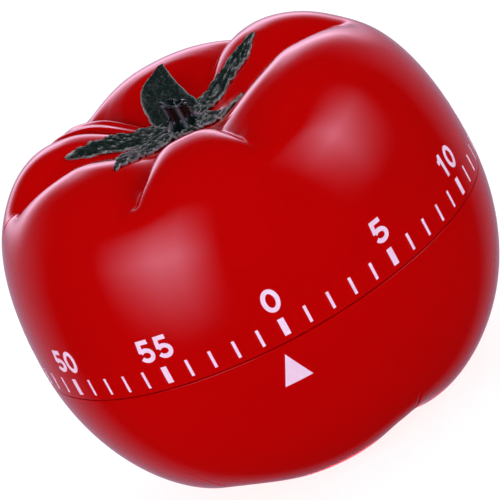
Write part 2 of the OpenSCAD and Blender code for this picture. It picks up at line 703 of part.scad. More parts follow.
module release_spring() {
    turns = 2;
    steps = 16;
    color("silver") translate([release_at[0], release_at[1], deck + 0.02 + wire_r])
        rings([for (k = [0 : turns * steps]) let(a = 360 * k / steps, r = stud_r + 0.35)
            [for (s = [0 : 5]) let(c = r + wire_r * cos(60 * s))
                [c * cos(a), c * sin(a), 0.29 * a / 360 + wire_r * sin(60 * s)]]]);
}

upper_shell();
calyx();
dial_screw();
lower_shell();
base_cover();
cover_screws();
bell();
bell_post();
bell_screw();
bottom_plate();
top_plate();
plate_pillars();
pillar_screws();
movement_screws();
winding_arbor();
mainspring();
spring_post();
main_wheel();
clutch_spring();
second_pinion();
second_wheel();
third_pinion();
third_wheel();
escape_pinion();
escape_wheel();
pallet_arbor();
pallet_lever();
balance_bar();
alarm_pinion();
alarm_wheel();
hammer_arbor();
hammer_pallet();
hammer_arm();
hammer_head();
lock_crank();
alarm_cam();
stop_arm();
stop_pin();
release_stud();
release_lever();
release_spring();
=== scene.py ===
import math
import bmesh
import bpy
import numpy as np
from mathutils import Matrix, Vector, noise


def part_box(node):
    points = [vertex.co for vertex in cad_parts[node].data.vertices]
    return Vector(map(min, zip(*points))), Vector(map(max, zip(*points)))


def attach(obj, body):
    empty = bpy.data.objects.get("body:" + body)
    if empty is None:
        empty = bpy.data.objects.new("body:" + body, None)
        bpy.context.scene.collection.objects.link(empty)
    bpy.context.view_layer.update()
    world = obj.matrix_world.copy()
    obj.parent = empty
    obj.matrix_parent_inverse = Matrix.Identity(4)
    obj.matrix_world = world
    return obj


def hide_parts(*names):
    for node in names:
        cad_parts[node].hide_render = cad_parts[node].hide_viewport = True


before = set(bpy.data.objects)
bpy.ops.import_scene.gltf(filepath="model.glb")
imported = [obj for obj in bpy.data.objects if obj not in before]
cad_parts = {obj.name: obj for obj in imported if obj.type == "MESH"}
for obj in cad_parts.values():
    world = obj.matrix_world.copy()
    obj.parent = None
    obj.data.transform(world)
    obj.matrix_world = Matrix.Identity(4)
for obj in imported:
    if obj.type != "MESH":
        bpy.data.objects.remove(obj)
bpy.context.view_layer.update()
mm = 0.001


# ---- Camera ------------------------------------------------------------------------------
# A long lens looks slightly down at the timer. The camera is rolled, so the timer
# seems to lean back to the left, with its calyx turned to the upper left.
ring_z = 29.2 * mm                    # middle of the ring of minute marks
look_azimuth = math.radians(5.13)
look_down = math.radians(18.84)
roll = math.radians(28.52)
distance = 595.2 * mm
aside = Vector((0.509, 0.165)) * mm   # how far the ring's middle sits off the centre of view
right = Vector((math.cos(look_azimuth), math.sin(look_azimuth), 0))
back = Vector((math.sin(look_azimuth) * math.cos(look_down),
               -math.cos(look_azimuth) * math.cos(look_down), math.sin(look_down)))
up = back.cross(right)
camera_x = math.cos(roll) * right - math.sin(roll) * up
camera_y = math.sin(roll) * right + math.cos(roll) * up


def put_in(name, data):
    """A new object in the scene."""
    made = bpy.data.objects.new(name, data)
    bpy.context.scene.collection.objects.link(made)
    return made


camera = put_in("camera", bpy.data.cameras.new("camera"))
camera.data.sensor_width = 36
camera.data.lens = 288.5
camera.data.clip_end = 20
turned = Matrix((camera_x, camera_y, back)).transposed().to_4x4()
spot = Vector((0, 0, ring_z)) - aside.x * camera_x - aside.y * camera_y + distance * back
camera.matrix_world = Matrix.Translation(spot) @ turned
bpy.context.scene.camera = camera


# ---- Lower half of the case --------------------------------------------------------------
# The fixed half, injection moulded in glossy red plastic with six soft lobes. It stands
# on a flat ring, and carries the bell, the clockwork and a lip that guides the upper half.
class Wire:
    """One output of a node. Sums, products and powers of wires add Math nodes to its tree."""

    def __init__(self, tree, socket=None):
        self.tree = tree
        self.socket = socket

    def node(self, kind, settings=None, sockets=None, out=0):
        """Any other node: its settings are made first, then its sockets' values or links."""
        made = self.tree.nodes.new(kind)
        for name, value in (settings or {}).items():
            if name == "stops":
                for stop, (place, colour) in zip(made.color_ramp.elements, value):
                    stop.position = place
                    stop.color = colour
            else:
                setattr(made, name, value)
        for key, value in (sockets or {}).items():
            if isinstance(value, Wire):
                self.tree.links.new(value.socket, made.inputs[key])
            else:
                made.inputs[key].default_value = value
        return Wire(self.tree, made.outputs[out])

    def math(self, operation, *values):
        return self.node("ShaderNodeMath", {"operation": operation}, dict(enumerate(values)))

    def __add__(self, other):
        return self.math("ADD", self, other)

    def __radd__(self, other):
        return self.math("ADD", other, self)

    def __sub__(self, other):
        return self.math("SUBTRACT", self, other)

    def __rsub__(self, other):
        return self.math("SUBTRACT", other, self)

    def __mul__(self, other):
        return self.math("MULTIPLY", self, other)

    def __rmul__(self, other):
        return self.math("MULTIPLY", other, self)

    def __truediv__(self, other):
        return self.math("DIVIDE", self, other)

    def __pow__(self, other):
        return self.math("POWER", self, other)

    def axes(self):
        """The X, Y and Z of a vector."""
        parts = self.node("ShaderNodeSeparateXYZ", {}, {0: self})
        return [Wire(self.tree, output) for output in parts.socket.node.outputs]

    def feeds(self, shader, socket):
        self.tree.links.new(self.socket, shader.inputs[socket])


def finish(name, constants):
    """A material with its plain values set, its shader, and the place on the piece in mm."""
    made = bpy.data.materials.new(name)
    made.use_nodes = True
    shader = made.node_tree.nodes["Principled BSDF"]
    for socket, value in constants.items():
        shader.inputs[socket].default_value = value
    place = Wire(made.node_tree).node("ShaderNodeTexCoord", out="Object")
    place = place.node(
        "ShaderNodeVectorMath", {"operation": "SCALE"}, {0: place, "Scale": 1 / mm})
    return made, shader, place


def grain(place, scale, detail=2.0):
    """Cloudy noise whose features are about 1 / scale millimetres across."""
    return place.node("ShaderNodeTexNoise", {}, {
        "Vector": place, "Scale": scale, "Detail": detail, "Roughness": 0.5})


def mixed(share, first, second):
    """A colour between two, by a share that varies over the surface."""
    return share.node(
        "ShaderNodeMix", {"data_type": "RGBA"}, {0: share, 6: first, 7: second}, out=2)


def raised(height, depth):
    return height.node("ShaderNodeBump", {}, {"Distance": depth, "Height": height})


def moulded_red(name, roughness):
    """Glossy ABS in one colour, with faint flow clouding, a slight orange peel and rub marks."""
    made, shader, place = finish(name, {
        "IOR": 1.5, "Specular IOR Level": 0.5, "Coat Roughness": 0.03})
    flow = grain(place, 0.035)
    mixed(flow, (0.375, 0.0001, 0.0002, 1), (0.435, 0.0004, 0.0008, 1)).feeds(
        shader, "Base Color")
    peel = grain(place, 0.55, 1.0)
    rubs = place.node("ShaderNodeTexNoise", {}, {
        "Vector": place.node("ShaderNodeMapping", {}, {
            "Vector": place, "Rotation": (0.3, 0.2, 0.9), "Scale": (0.15, 4.0, 0.4)}),
        "Scale": 1.0, "Detail": 3.0})
    rub_from, rub_dulling = 0.68, 0.04
    marks = rubs.math("GREATER_THAN", rubs, rub_from) * rub_dulling
    (roughness + 0.03 * grain(place, 0.2) + marks).feeds(shader, "Roughness")
    raised(peel, 0.006 * mm).feeds(shader, "Normal")
    return made


crease_soft = 0.04                    # how far a crease's own bottom is rounded
crease_foot = 2.3                     # powers that give a crease its sides: how it leaves a lobe
crease_fall = 0.6                     # and how steeply it falls to its bottom


def smooth(t):
    """An even step from 0 to 1."""
    t = np.clip(t, 0, 1)
    return t * t * (3 - 2 * t)


def lobed_wall(lobes):
    """Node tree that turns a loop of wall points round +Z and presses it in along its creases.

    Each lobe is (azimuth of its first crease, share of the crease depth there, how far it is
    sunk), and ends at the next one's first crease.
    """
    tree = bpy.data.node_groups.new("lobed_wall", "GeometryNodeTree")
    sockets = (("Geometry", "NodeSocketGeometry"), ("Columns", "NodeSocketInt"),
               ("Crease depth", "NodeSocketFloat"), ("Finish", "NodeSocketMaterial"))
    for title, kind in sockets:
        tree.interface.new_socket(title, in_out="INPUT", socket_type=kind)
    tree.interface.new_socket("Geometry", in_out="OUTPUT", socket_type="NodeSocketGeometry")
    entry = tree.nodes.new("NodeGroupInput")
    loop, columns, depth, coating = (Wire(tree, entry.outputs[title]) for title, _ in sockets)
    rows = loop.node("GeometryNodeAttributeDomainSize", {}, {0: loop})
    sheet = loop.node("GeometryNodeMeshGrid", {}, {
        "Size X": columns, "Size Y": rows, "Vertices X": columns + 1, "Vertices Y": rows + 1})
    flat_x, flat_y = loop.node("GeometryNodeInputPosition").axes()[:2]
    across = flat_x + columns / 2
    along = flat_y + rows / 2 + 0.5
    row = loop.math("FLOORED_MODULO", loop.math("FLOOR", along), rows)

    def at_row(attribute):
        value = loop.node(
            "GeometryNodeInputNamedAttribute", {"data_type": "FLOAT"}, {"Name": attribute})
        return loop.node("GeometryNodeSampleIndex", {"data_type": "FLOAT", "domain": "POINT"}, {
            "Geometry": loop, "Value": value, "Index": row})

    radius, height, out_r, out_z, deep, soft, inset, flat_at = (at_row(name) for name in (
        "radius", "height", "out_r", "out_z", "deep", "soft", "inset", "flat_at"))
    turns = across / columns
    dip = 0
    for i, (start, share, sunk) in enumerate(lobes):
        end, next_share = lobes[(i + 1) % len(lobes)][:2]
        span = (end - start) % 360
        x = loop.math("FLOORED_MODULO", turns - start / 360, 1.0) * (720 / span) - 1
        reach = loop.math("MINIMUM", loop.math("ABSOLUTE", x), 1.0)
        inside = loop.math("LESS_THAN", x, 1.0)
        edge = 1 - ((1 - reach) ** 2 + soft * soft) ** 0.5 / (1 + soft * soft) ** 0.5
        side = share + loop.math("GREATER_THAN", x, 0.0) * (next_share - share)
        crease = side * (1 - (1 - edge ** crease_foot) ** crease_fall)
        dip = inside * (sunk * (1 - reach * reach) ** 2 + crease) + dip
    press = dip * deep * depth + inset
    far = radius - out_r * press
    turn = turns * math.tau
    place = loop.node("ShaderNodeCombineXYZ", {}, {
        "X": loop.math("MINIMUM", far * loop.math("COSINE", turn), flat_at),
        "Y": far * loop.math("SINE", turn), "Z": height - out_z * press})
    wall = loop.node("GeometryNodeSetPosition", {}, {"Geometry": sheet, "Position": place})
    wall = loop.node(
        "GeometryNodeMergeByDistance", {}, {"Geometry": wall, "Distance": 0.0005 * mm})
    wall = loop.node("GeometryNodeSetShadeSmooth", {}, {"Geometry": wall})
    wall = loop.node("GeometryNodeRealizeInstances", {}, {"Geometry": wall})
    wall = loop.node("GeometryNodeSetMaterial", {}, {"Geometry": wall, "Material": coating})
    wall.feeds(tree.nodes.new("NodeGroupOutput"), 0)
    return tree


def settle(piece, modifier):
    """Makes what a modifier shows the piece's own plain mesh."""
    evaluated = piece.evaluated_get(bpy.context.evaluated_depsgraph_get())
    mesh = bpy.data.meshes.new_from_object(evaluated)
    piece.modifiers.remove(modifier)
    piece.data = mesh
    return piece


def grow(name, tree, start, sizes):
    """Runs a node tree on a starting mesh and returns a plain piece with what it made."""
    piece = put_in(name, start)
    modifier = piece.modifiers.new("grow", "NODES")
    modifier.node_group = tree
    for item in tree.interface.items_tree:
        if item.in_out == "INPUT" and item.name in sizes:
            modifier[item.identifier] = sizes[item.name]
    return settle(piece, modifier)


def skin(points, inset=0.0):
    """Wall points that run up the outside, each with its way out of the wall.

    An inset moves them in.
    """
    p = np.array(points)
    ahead = np.vstack([p[1:, :2], p[-1:, :2]]) - np.vstack([p[:1, :2], p[:-1, :2]])
    out = np.stack([ahead[:, 1], -ahead[:, 0]], 1)
    out /= np.linalg.norm(out, axis=1)[:, None]
    return [(r, z, n[0], n[1], deep, soft, inset) for (r, z, deep, soft), n in zip(points, out)]


def plain(points):
    """Wall points that no crease reaches."""
    return [(r, z, 0, 0, 0, 0, 0) for r, z in points]


def wall_loop(rows, flat_rows=(), flat_at=0):
    """The wall's loop of points as a mesh; rows on the flat of a bore stop at flat_at."""
    no_flat = 1.0                     # metres, far outside the case
    mesh = bpy.data.meshes.new("wall_loop")
    mesh.vertices.add(len(rows))
    names = ("radius", "height", "out_r", "out_z", "deep", "soft", "inset")
    scales = (mm, mm, 1, 1, 1, 1, mm)
    for name, scale, values in zip(names, scales, zip(*rows)):
        mesh.attributes.new(name, "FLOAT", "POINT").data.foreach_set(
            "value", np.array(values, np.float32) * scale)
    limits = [flat_at * mm if tuple(row[:2]) in flat_rows else no_flat for row in rows]
    mesh.attributes.new("flat_at", "FLOAT", "POINT").data.foreach_set("value", limits)
    return mesh


def close_up(piece, crisp=50):
    """Welds a piece, points its faces outwards and keeps its corners crisp."""
    weld = 0.0002 * mm
    shape = bmesh.new()
    shape.from_mesh(piece.data)
    bmesh.ops.remove_doubles(shape, verts=shape.verts, dist=weld)
    bmesh.ops.recalc_face_normals(shape, faces=shape.faces)
    shape.to_mesh(piece.data)
    shape.free()
    piece.data.shade_smooth()
    piece.data.set_sharp_from_angle(angle=math.radians(crisp))
    return piece


def turn_into(shape, outline, centre=(0, 0), sides=32, scallop=None):
    """Adds a turned solid; outline points are (radius, height), and a radius of 0 is a pole."""
    rings = []
    for r, z in outline:
        if r == 0:
            rings.append([shape.verts.new((centre[0] * mm, centre[1] * mm, z * mm))])
            continue
        ring = []
        for k in range(sides):
            a = math.tau * k / sides
            far = r * (scallop(a, z) if scallop else 1)
            ring.append(shape.verts.new(((centre[0] + far * math.cos(a)) * mm,
                                         (centre[1] + far * math.sin(a)) * mm, z * mm)))
        rings.append(ring)
    for low, high in zip(rings, rings[1:] + rings[:1]):
        if len(low) == len(high) == 1:
            continue
        for k in range(sides):
            corners = [low[k % len(low)], low[(k + 1) % len(low)],
                       high[(k + 1) % len(high)], high[k % len(high)]]
            shape.faces.new(list(dict.fromkeys(corners)))


case_r = 36
wall_t = 2
belt_z = 28
base_r = 16.8
belly_round = 1.05                    # powers that shape the belly: how it rounds in
belly_rise = 1.045                    # and how it rises to the belt
belly_depth = 2.5
columns = 720                         # of points round each half
belly_lobes = [(-132, 1, 0), (-62, 1, 0), (-5, 1, 0), (52, 1, 0), (112, 1, 0), (168, 1, 0)]
seam_gap = 0.15
rim_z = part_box("upper_shell")[0].z / mm - seam_gap
rim_inset = 0.02                      # the rim stands this far inside the upper half's edge
edge_r = 0.12                         # rounding of the edges that meet at the seam
floor_z = 3.4
corner_r = base_r + 0.7               # where the inner wall meets the floor
ledge_z = 2
recess_r = 15.35
opening_r = 11.8
lip_r = 33.6
lip_t = 1.2
lip_h = 2
lip_root = 1.5
# outlines of the screw bosses, as (radius, height)
movement_boss = [(0, 8.6), (2.3, 8.6), (2.3, 13.3), (2.2, 13.4), (1.02, 13.4), (1.02, 9.9),
                 (0, 9.6)]
cover_boss = [(1.7, 2.05), (1.7, 4.5), (1.6, 4.6), (0.77, 4.6), (0.77, 2.05)]
movement_boss_ring_r = 27
cover_boss_ring_r = 13.6


def fading(share, soft_from, soft_over):
    """How deep and how soft the creases are at a share of the case's radius."""
    shallow_from, softening = 0.6, 1.2
    return (1 - smooth((share - shallow_from) / (1 - shallow_from)),
            crease_soft + softening * smooth((share - soft_from) / soft_over))


def belly(a):
    """A point of the belly's outline, from the foot at a right angle to the belt at none."""
    r = base_r + (case_r - base_r) * math.cos(a) ** belly_round
    z = belt_z * (1 - math.sin(a) ** belly_rise)
    return (r, z, *fading(r / case_r, 0.54, 0.5))


rim_angle = math.asin((1 - (rim_z - edge_r) / belt_z) ** (1 / belly_rise))
belly_points = [belly(a) for a in np.linspace(math.pi / 2, rim_angle, 64)]
belly_points[0] = (base_r, 0, 0, crease_soft)
belly_inner = [(r, z, deep, soft) for r, z, deep, soft in belly_points[4:-4:4]]
rounding = [
    (case_r - edge_r * (1 - math.cos(t)) - rim_inset, rim_z - edge_r + edge_r * math.sin(t))
    for t in np.linspace(0.3, math.pi / 2, 5)]
lower_rows = (
    skin(belly_points) + plain(rounding)
    + plain([(lip_r, rim_z), (lip_r, rim_z + lip_h), (lip_r - lip_t, rim_z + lip_h),
             (lip_r - lip_t, rim_z - lip_root)])
    + skin(belly_inner, wall_t)[::-1]
    + plain([(corner_r, floor_z), (opening_r, floor_z), (opening_r, ledge_z),
             (recess_r, ledge_z), (recess_r, 0)]))
lower_case = grow("lower_case", lobed_wall(belly_lobes), wall_loop(lower_rows), {
    "Columns": columns, "Crease depth": belly_depth * mm,
    "Finish": moulded_red("moulded_red_lower", 0.1)})
posts = bmesh.new()
posts.from_mesh(lower_case.data)
for azimuth in (90, 210, 330):
    a = math.radians(azimuth)
    turn_into(posts, movement_boss,
              (movement_boss_ring_r * math.cos(a), movement_boss_ring_r * math.sin(a)))
    a += math.pi / 3                  # the cover's bosses stand between the movement's
    turn_into(posts, cover_boss,
              (cover_boss_ring_r * math.cos(a), cover_boss_ring_r * math.sin(a)))
posts.to_mesh(lower_case.data)
posts.free()
close_up(lower_case)
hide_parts("lower_shell")
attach(lower_case, "base")


# ---- Bell and the parts that hold it -----------------------------------------------------
# A shallow bell pressed from steel sheet and plated with bright chromium. A screw holds
# its floor against a turned brass post, which hangs from the bottom plate.
def bright_metal(name, colour, roughness, rings=0.0):
    """A bare or plated metal: clouded colour, worn gloss and, on turned parts, tool rings."""
    made, shader, place = finish(name, {"Metallic": 1.0})
    cloud = grain(place, 0.6, 4.0)
    dull = tuple(c * 0.8 for c in colour)
    mixed(cloud, (*colour, 1), (*dull, 1)).feeds(shader, "Base Color")
    (roughness * 0.8 + cloud * (roughness * 0.5)).feeds(shader, "Roughness")
    fine = grain(place, 9.0)
    if rings:
        lines = place.node("ShaderNodeTexWave", {"wave_type": "RINGS", "rings_direction": "Z"}, {
            "Vector": place, "Scale": rings, "Distortion": 0.4, "Detail": 2.0})
        fine = fine * 0.5 + lines
    raised(fine, 0.003 * mm).feeds(shader, "Normal")
    return made


def dress(nodes, coating):
    """Gives a finish to parts that keep their CAD shape."""
    for name in nodes:
        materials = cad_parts[name].data.materials
        materials.clear()
        materials.append(coating)


chrome = bright_metal("bright_chromium", (0.78, 0.79, 0.8), 0.08)
brass = bright_metal("turned_brass", (0.72, 0.5, 0.2), 0.24, rings=2.0)
zinc = bright_metal("zinc_plated_screw", (0.62, 0.64, 0.66), 0.3, rings=3.0)
dress(["bell"], chrome)
dress(["bell_post", "plate_pillars", "spring_post", "hammer_head"], brass)
dress(["bell_screw", "pillar_screws", "movement_screws", "cover_screws", "dial_screw"], zinc)


# ---- Plates, arbors and pinions ----------------------------------------------------------
# Two round plates stamped from zinc-plated steel sheet hold the wheels between them. The
# arbors and pinions are turned and cut from bright steel bar.
def rolled_steel(name, colour, roughness):
    """Plated sheet: rolling lines along one way under a mottled plating."""
    made, shader, place = finish(name, {"Metallic": 1.0})
    lines = place.node("ShaderNodeTexNoise", {}, {
        "Vector": place.node("ShaderNodeMapping", {}, {
            "Vector": place, "Scale": (0.08, 5.0, 5.0)}),
        "Scale": 1.0, "Detail": 4.0})
    spangle = place.node("ShaderNodeTexVoronoi", {"feature": "SMOOTH_F1"}, {
        "Vector": place, "Scale": 0.45}, out="Color")
    tone = spangle.node("ShaderNodeSeparateColor", {}, {0: spangle})
    dark = tuple(c * 0.78 for c in colour)
    mixed(tone * 0.5 + lines * 0.4, (*colour, 1), (*dark, 1)).feeds(shader, "Base Color")
    (roughness + 0.12 * lines + 0.06 * tone).feeds(shader, "Roughness")
    raised(lines, 0.004 * mm).feeds(shader, "Normal")
    return made


plate_steel = rolled_steel("plated_sheet_steel", (0.6, 0.61, 0.62), 0.3)
bar_steel = bright_metal("bright_bar_steel", (0.58, 0.58, 0.59), 0.2, rings=4.0)
dress(["bottom_plate", "top_plate"], plate_steel)
dress(["winding_arbor", "second_pinion", "third_pinion", "escape_pinion", "pallet_arbor",
       "alarm_pinion", "hammer_arbor", "release_stud", "stop_pin"], bar_steel)


# ---- Springs -----------------------------------------------------------------------------
# The mainspring, the clutch spring and the release lever are hardened spring steel with the
# blue left by tempering; the release spring is bright drawn wire.
def blued_steel(name):
    """Tempered steel whose blue turns to straw in patches."""
    made, shader, place = finish(name, {"Metallic": 1.0})
    heat = grain(place, 0.25, 3.0)
    mixed(heat, (0.1, 0.14, 0.3, 1), (0.26, 0.2, 0.22, 1)).feeds(shader, "Base Color")
    (0.2 + 0.15 * grain(place, 2.0)).feeds(shader, "Roughness")
    raised(grain(place, 7.0), 0.003 * mm).feeds(shader, "Normal")
    return made


dress(["mainspring", "clutch_spring", "release_lever"], blued_steel("blued_spring_steel"))
dress(["release_spring"], bright_metal("drawn_wire", (0.66, 0.66, 0.67), 0.22))


# ---- Wheels and the rocking parts --------------------------------------------------------
# Wheels blanked from brass sheet, with four spokes and cut teeth; the pallet lever is brass
# too. The balance bar, the hammer and its pallet are stamped steel.
sheet_brass = bright_metal("sheet_brass", (0.76, 0.55, 0.23), 0.26, rings=0.8)
stamped = rolled_steel("stamped_steel", (0.55, 0.56, 0.57), 0.28)
dress(["main_wheel", "second_wheel", "third_wheel", "escape_wheel", "alarm_wheel",
       "pallet_lever"], sheet_brass)
dress(["balance_bar", "hammer_pallet", "hammer_arm", "lock_crank"], stamped)


# ---- Alarm cam and stop arm --------------------------------------------------------------
# Both are moulded in white acetal and pressed on the winding arbor. Acetal is slightly waxy,
# so the surface is softly glossy and a little clouded.
acetal, shader, place = finish("white_acetal", {"Subsurface Weight": 0.08})
mixed(grain(place, 0.5), (0.72, 0.71, 0.67, 1), (0.8, 0.79, 0.76, 1)).feeds(shader, "Base Color")
(0.34 + 0.12 * grain(place, 1.2)).feeds(shader, "Roughness")
raised(grain(place, 4.0), 0.004 * mm).feeds(shader, "Normal")
dress(["alarm_cam", "stop_arm"], acetal)


# ---- Base cover --------------------------------------------------------------------------
# A round cover of the same red plastic, moulded with a fine spark-eroded texture and twelve
# slots that let the bell be heard. Three screws hold it in its recess.
cover_red, shader, place = finish("textured_red", {"IOR": 1.5})
mixed(grain(place, 0.05), (0.44, 0.002, 0.003, 1), (0.5, 0.003, 0.004, 1)).feeds(
    shader, "Base Color")
(0.42 + 0.1 * grain(place, 1.5)).feeds(shader, "Roughness")
raised(grain(place, 6.0, 4.0), 0.02 * mm).feeds(shader, "Normal")
dress(["base_cover"], cover_red)


# ---- Upper half of the case --------------------------------------------------------------
# The half that is turned by hand. It is moulded in the same red plastic, with seven uneven
# lobes round a hollow. A boss with a flat in its bore drives the winding arbor.
crest_r = 19.3
crest_z = 55.5
hollow_depth = 4.7
hollow_z = crest_z - hollow_depth
hollow_end = 0.85                     # share of the way to the eye where the hollow stops
eye_r = 4.7
flank_round = 0.76                    # powers that shape the flank: how it rounds in
flank_rise = 0.87                     # and how it rises to the crest
row_crowding = 1.35                   # the flank's rows stand closer together near the crest
top_depth = 5
seam_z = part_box("upper_shell")[0].z / mm
top_lobes = [(-111, 1, 0.05), (-70, 0.75, -0.08), (15, 0.7, -0.05), (66, 0.7, 0),
             (128, 1.3, 0.35), (144, 0.6, 0), (183, 1.2, 0)]
well_r = 4.2
well_h = 2.8
well_z = hollow_z - well_h
well_floor_t = 1.5
ceiling_z = well_z - well_floor_t
ceiling_r = well_r + 3.2
screw_hole_r = 1.1
bore_r = 2.02
boss_r = 4.5
boss_z = 29.5
bore_flat = 1.52


def flank(a):
    """A point of the flank's outline, from the belt at no angle to the crest at a right angle."""
    r = crest_r + (case_r - crest_r) * math.cos(a) ** flank_round
    z = belt_z + (crest_z - belt_z) * math.sin(a) ** flank_rise
    return (r, z, *fading(r / case_r, 0.78, 0.18))


def hollow(t):
    """A point of the hollow's outline, from the crest at 0 to the eye at 1."""
    return (crest_r - (crest_r - eye_r) * t,
            hollow_z + hollow_depth * math.cos(math.pi / 2 * t) ** 2, 1 - smooth(t), crease_soft)


belt = [(case_r, z, 0, 1) for z in np.linspace(seam_z + edge_r, belt_z, 4)]
side = [flank(math.pi / 2 * (1 - (1 - t) ** row_crowding))
        for t in np.linspace(0, 1, 62)[1:-1]]
inward = [hollow(t) for t in np.linspace(0, hollow_end, 24)]
top_points = belt + side + inward
top_inner = top_points[3:-9:4]
foot = [(case_r - edge_r * (1 - math.cos(t)), seam_z + edge_r * (1 - math.sin(t)))
        for t in np.linspace(math.pi / 2, 0.3, 5)]
bore = [(bore_r, ceiling_z), (bore_r, boss_z)]
upper_rows = (
    plain(foot) + skin(top_points)
    + plain([(eye_r, hollow_z), (well_r, hollow_z), (well_r, well_z), (screw_hole_r, well_z),
             (screw_hole_r, ceiling_z)])
    + plain(bore)
    + plain([(boss_r, boss_z), (boss_r, ceiling_z), (ceiling_r, ceiling_z)])
    + skin(top_inner, wall_t)[::-1]
    + plain([(case_r - wall_t, seam_z)]))
upper_case = grow("upper_case", lobed_wall(top_lobes), wall_loop(upper_rows, bore, bore_flat), {
    "Columns": columns, "Crease depth": top_depth * mm,
    "Finish": moulded_red("moulded_red_upper", 0.08)})
close_up(upper_case)
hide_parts("upper_shell")
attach(upper_case, "dial")


# ---- Minute marks, numbers and pointer ---------------------------------------------------
# Pad-printed in pinkish white ink: sixty marks and twelve numbers on the upper half, which
# turns, and a triangle on the lower half, which they pass.
ink, shader, place = finish("printed_ink", {"IOR": 1.45})
cover = grain(place, 1.3, 3.0)
mixed(cover, (0.82, 0.66, 0.8, 1), (0.7, 0.5, 0.66, 1)).feeds(shader, "Base Color")
(0.4 + 0.15 * cover).feeds(shader, "Roughness")
raised(grain(place, 5.0), 0.006 * mm).feeds(shader, "Normal")

ink_t = 0.03
mark_h = 2.66
mark_w = 0.45
five_w = 0.95
mark_z = 29.2
number_z = 31.7
number_h = 3.55
number_gap = 3.05                     # from one digit's middle to the next one's
pen_w = 0.67
pen_step = 0.35                       # a stroke has a corner at least this often
pen_lift = 0.008                      # each next stroke of a digit lies this much higher
zero_azimuth = -87.15
pointer_azimuth = -90


def flat_print(kind):
    """A new node tree for print laid out flat: X round the case in mm, Y up, Z outwards."""
    tree = bpy.data.node_groups.new(kind, "GeometryNodeTree")
    tree.interface.new_socket("Geometry", in_out="INPUT", socket_type="NodeSocketGeometry")
    tree.interface.new_socket("Geometry", in_out="OUTPUT", socket_type="NodeSocketGeometry")
    return tree


def inputs_of(tree, titles, kind="NodeSocketFloat"):
    """Adds named inputs of one kind to a tree."""
    for title in titles:
        tree.interface.new_socket(title, in_out="INPUT", socket_type=kind)


def mark_row():
    """Sixty printed marks in a row, every fifth one wide."""
    tree = flat_print("mark_row")
    titles = ("Length", "Width", "Fifth width", "Pitch", "Height up", "Thickness", "Start")
    inputs_of(tree, titles)
    entry = tree.nodes.new("NodeGroupInput")
    length, width, fifth, pitch, rise, thick, start = (
        Wire(tree, entry.outputs[title]) for title in titles)
    row = length.node("GeometryNodeMeshLine", {}, {
        "Count": 60, "Offset": length.node("ShaderNodeCombineXYZ", {}, {"X": pitch}),
        "Start Location": length.node("ShaderNodeCombineXYZ", {}, {"X": start, "Y": rise})})
    bar = length.node("GeometryNodeMeshCube", {}, {
        "Size": length.node("ShaderNodeCombineXYZ", {}, {"X": 1.0, "Y": length, "Z": thick}),
        "Vertices X": 3, "Vertices Y": 7})
    number = length.node("GeometryNodeInputIndex")
    is_fifth = length.math("LESS_THAN", length.math("MODULO", number, 5.0), 0.5)
    wide = width + is_fifth * (fifth - width)
    marks = length.node("GeometryNodeInstanceOnPoints", {}, {
        "Points": row, "Instance": bar,
        "Scale": length.node("ShaderNodeCombineXYZ", {}, {"X": wide, "Y": 1.0, "Z": 1.0})})
    marks = length.node("GeometryNodeRealizeInstances", {}, {"Geometry": marks})
    marks.feeds(tree.nodes.new("NodeGroupOutput"), 0)
    return tree


def wrap_round_case():
    """Bends flat print onto the case, whose radius shrinks from the belt upwards."""
    tree = flat_print("wrap_round_case")
    titles = (
        "Case radius", "End radius", "Belt height", "Reach", "Height power", "Radius power")
    inputs_of(tree, titles)
    inputs_of(tree, ("Ink",), "NodeSocketMaterial")
    entry = tree.nodes.new("NodeGroupInput")
    sheet, case, end, belt_height, reach, height_power, radius_power, coating = (
        Wire(tree, entry.outputs[title]) for title in ("Geometry", *titles, "Ink"))
    round_case, height, out = sheet.node("GeometryNodeInputPosition").axes()
    share = sheet.math("MAXIMUM", (height - belt_height) / reach, 0.0) ** height_power
    far = end + (case - end) * (1 - share * share) ** radius_power + out
    turn = round_case / case
    place = sheet.node("ShaderNodeCombineXYZ", {}, {
        "X": far * sheet.math("COSINE", turn), "Y": far * sheet.math("SINE", turn), "Z": height})
    place = sheet.node("ShaderNodeVectorMath", {"operation": "SCALE"}, {0: place, "Scale": mm})
    made = sheet.node("GeometryNodeSetPosition", {}, {"Geometry": sheet, "Position": place})
    made = sheet.node("GeometryNodeRealizeInstances", {}, {"Geometry": made})
    made = sheet.node("GeometryNodeSetMaterial", {}, {"Geometry": made, "Material": coating})
    made.feeds(tree.nodes.new("NodeGroupOutput"), 0)
    return tree


def along_case(azimuth):
    """Distance round the case, in mm, from the +X side to an azimuth."""
    return math.radians(azimuth) * case_r


def arc(x, y, rx, ry, start, stop):
    """Points of one elliptical arc of a digit, between two angles and about 12 degrees apart."""
    count = max(3, round(abs(stop - start) / 12))
    angles = np.radians(np.linspace(start, stop, count + 1))
    return [(x + rx * math.cos(a), y + ry * math.sin(a)) for a in angles]


half_w = 1.0                          # from a digit's middle to the middle of its side stroke
low_y = pen_w / 2
high_y = number_h - pen_w / 2
middle_y = number_h / 2
